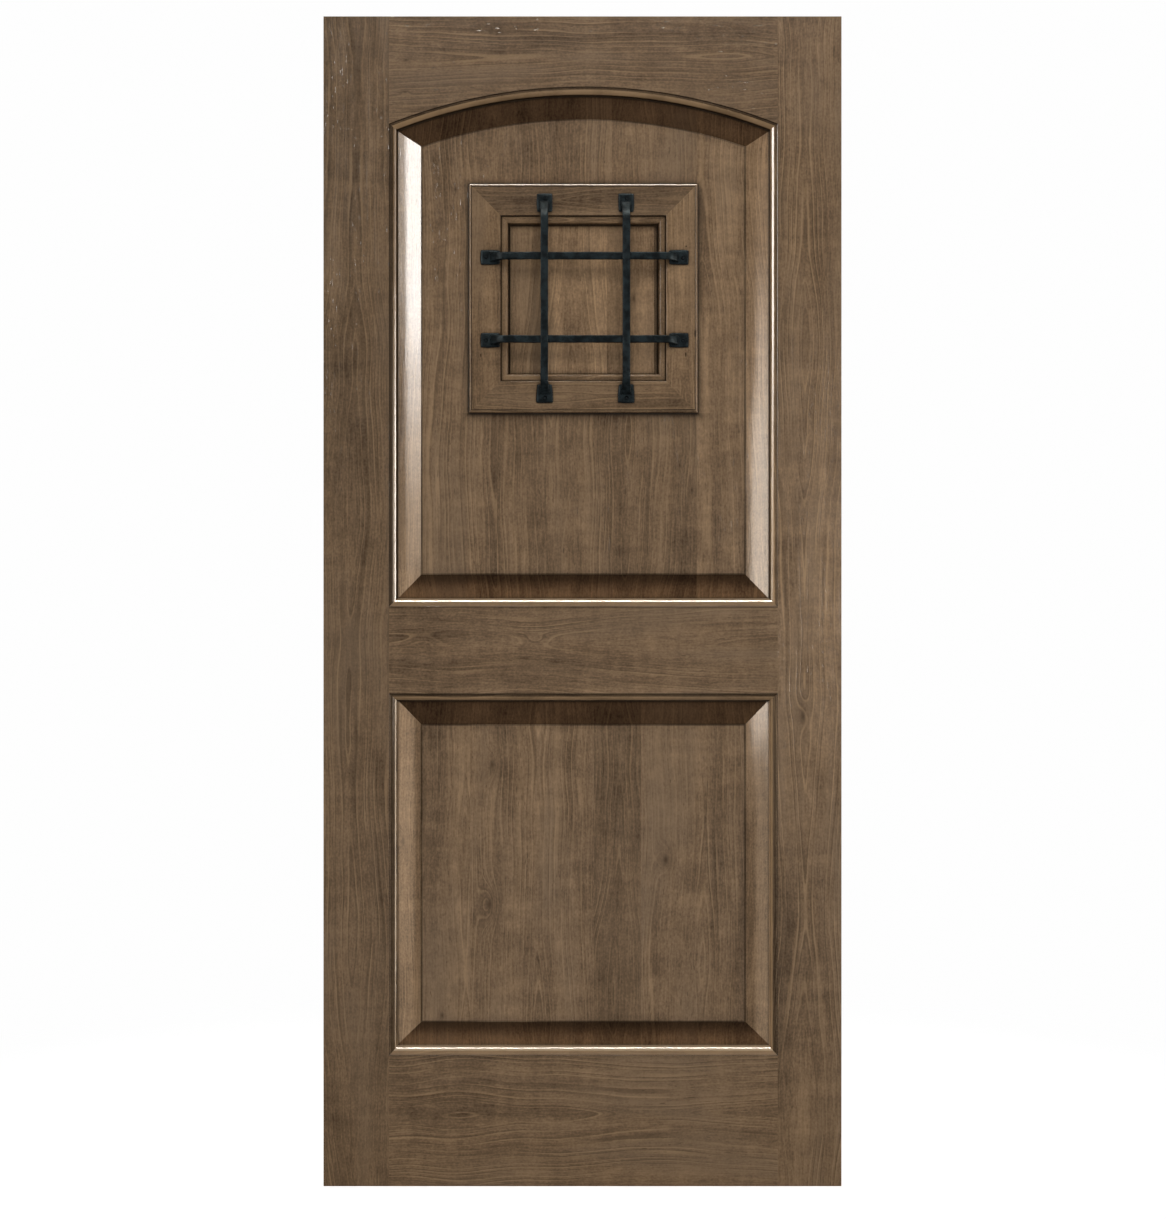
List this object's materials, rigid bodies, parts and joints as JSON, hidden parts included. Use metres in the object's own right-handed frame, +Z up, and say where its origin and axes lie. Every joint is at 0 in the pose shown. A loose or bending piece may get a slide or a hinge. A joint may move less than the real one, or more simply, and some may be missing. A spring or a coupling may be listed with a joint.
{
  "type": "wine cellar door",
  "caption": "Solid wood cellar door leaf with an arched raised panel over a rectangular one, and a barred speakeasy with a small hatch that opens at the back.",
  "frame": {"origin": "on the flat face of the hinge edge, at its lower end, in the middle of the leaf's thickness", "axes": "+X from the hinge edge to the latch edge, +Y from the grille side to the hatch side, +Z up"},
  "size_m": [0.9144, 0.1034, 2.065],
  "materials": {
    "frame_wood": "satin",
    "panel_wood": "satin",
    "casing_wood": "satin",
    "hatch_wood": "satin",
    "forged_iron": "satin",
    "small_iron": "satin"
  },
  "bodies": {
    "root": {"back_casing_bottom": "casing_wood", "back_casing_left": "casing_wood", "back_casing_right": "casing_wood", "back_casing_top": "casing_wood", "bottom_rail": "frame_wood", "fixed_hinge_leaves": "small_iron", "front_casing_bottom": "casing_wood", "front_casing_left": "casing_wood", "front_casing_right": "casing_wood", "front_casing_top": "casing_wood", "grille_bar_left": "forged_iron", "grille_bar_lower": "forged_iron", "grille_bar_right": "forged_iron", "grille_bar_upper": "forged_iron", "grille_screws": "small_iron", "hinge_pins": "small_iron", "left_stile": "frame_wood", "liner_bottom": "casing_wood", "liner_left": "casing_wood", "liner_right": "casing_wood", "liner_top": "casing_wood", "lower_panel": "panel_wood", "middle_rail": "frame_wood", "right_stile": "frame_wood", "stop_bottom": "casing_wood", "stop_left": "casing_wood", "stop_right": "casing_wood", "stop_top": "casing_wood", "top_rail": "frame_wood", "upper_panel": "panel_wood"},
    "hatch": {"hatch_board": "hatch_wood", "hatch_hinge_leaves": "small_iron", "hatch_knob": "small_iron"}
  },
  "joints": [
    {"name": "hatch_hinge", "type": "hinge", "parent": "root", "child": "hatch", "pos_m": [0.3152, 0.03122, 1.5668], "axis": [0, 0, 1], "range_deg": [0, 165]}
  ]
}
